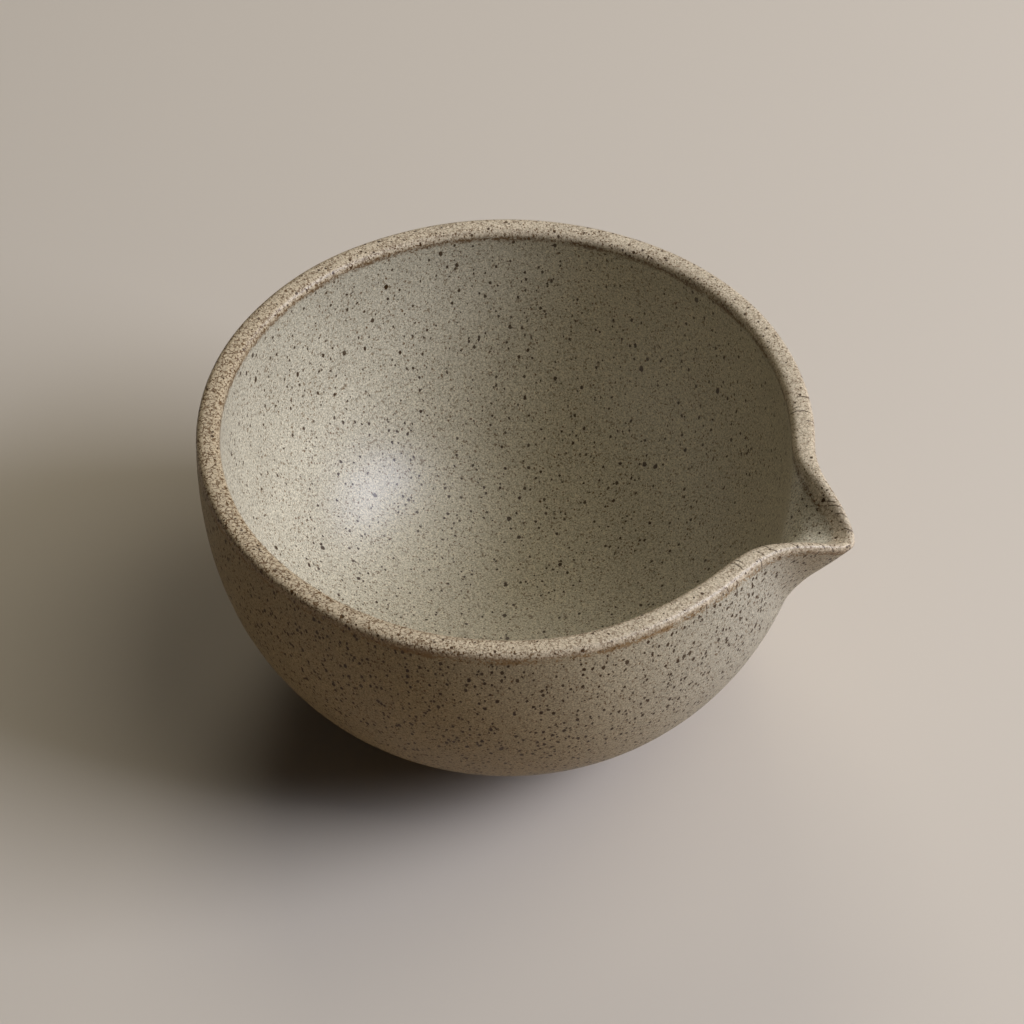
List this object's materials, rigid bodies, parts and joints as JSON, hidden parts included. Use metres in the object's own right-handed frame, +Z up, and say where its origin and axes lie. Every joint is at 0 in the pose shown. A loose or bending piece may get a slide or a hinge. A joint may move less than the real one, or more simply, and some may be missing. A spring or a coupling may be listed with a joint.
{
  "type": "spouted bowl",
  "caption": "Round hand-thrown stoneware pouring bowl with a pulled beak spout, a rounded lip and a flat bare-clay foot.",
  "frame": {"origin": "centre of the foot's flat resting face, on the bowl's axis", "axes": "+Z up along the bowl's axis, +X the way the spout points"},
  "size_m": [0.1418, 0.1304, 0.0728],
  "materials": {
    "bare_clay": "matte",
    "inner_glaze": "satin",
    "outer_glaze": "satin",
    "lip_glaze": "satin"
  },
  "bodies": {
    "root": {"stoneware_body": "bare_clay", "inner_glaze": "inner_glaze", "outer_glaze": "outer_glaze", "lip_glaze": "lip_glaze"}
  },
  "joints": []
}
